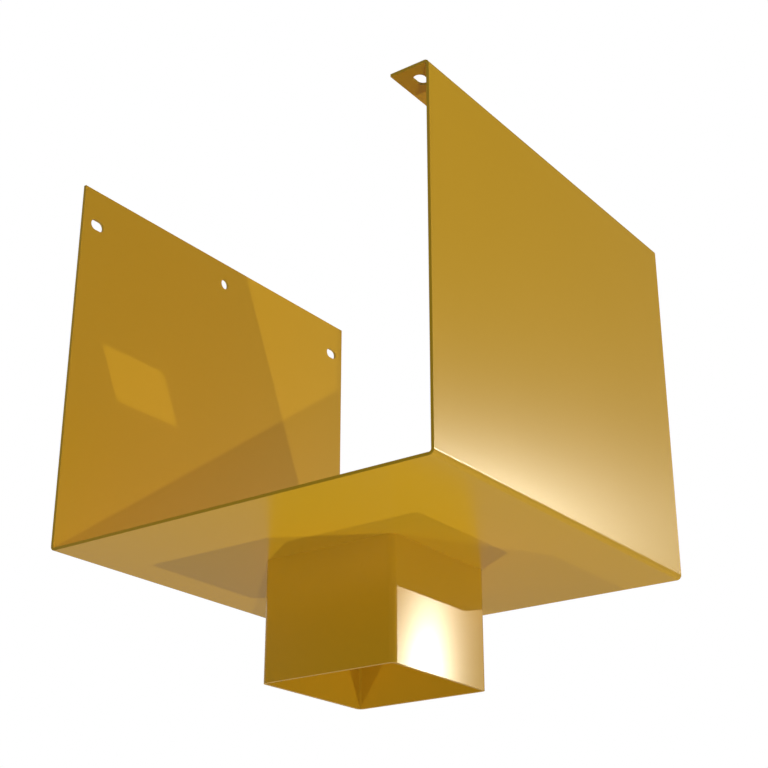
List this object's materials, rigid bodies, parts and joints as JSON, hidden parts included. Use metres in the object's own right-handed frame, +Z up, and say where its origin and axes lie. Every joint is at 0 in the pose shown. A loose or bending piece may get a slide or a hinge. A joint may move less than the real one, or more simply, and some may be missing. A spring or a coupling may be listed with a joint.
{
  "type": "rainwater outlet",
  "caption": "Box gutter outlet: an open-ended channel folded from sheet, with a lipped front wall, a taller drilled back wall and a square spigot under its sole.",
  "frame": {"origin": "middle of the spigot's square mouth, in the plane of its rim, which is also the bottom centre of the whole outlet", "axes": "+X along the gutter, +Y from the front wall towards the back wall, +Z up, along the spigot"},
  "size_m": [0.3, 0.3, 0.354],
  "materials": {
    "channel_sheet": "gloss gold coating",
    "spigot_tube": "gloss gold coating"
  },
  "bodies": {
    "root": {"channel": "channel_sheet", "spigot": "spigot_tube"}
  },
  "joints": []
}
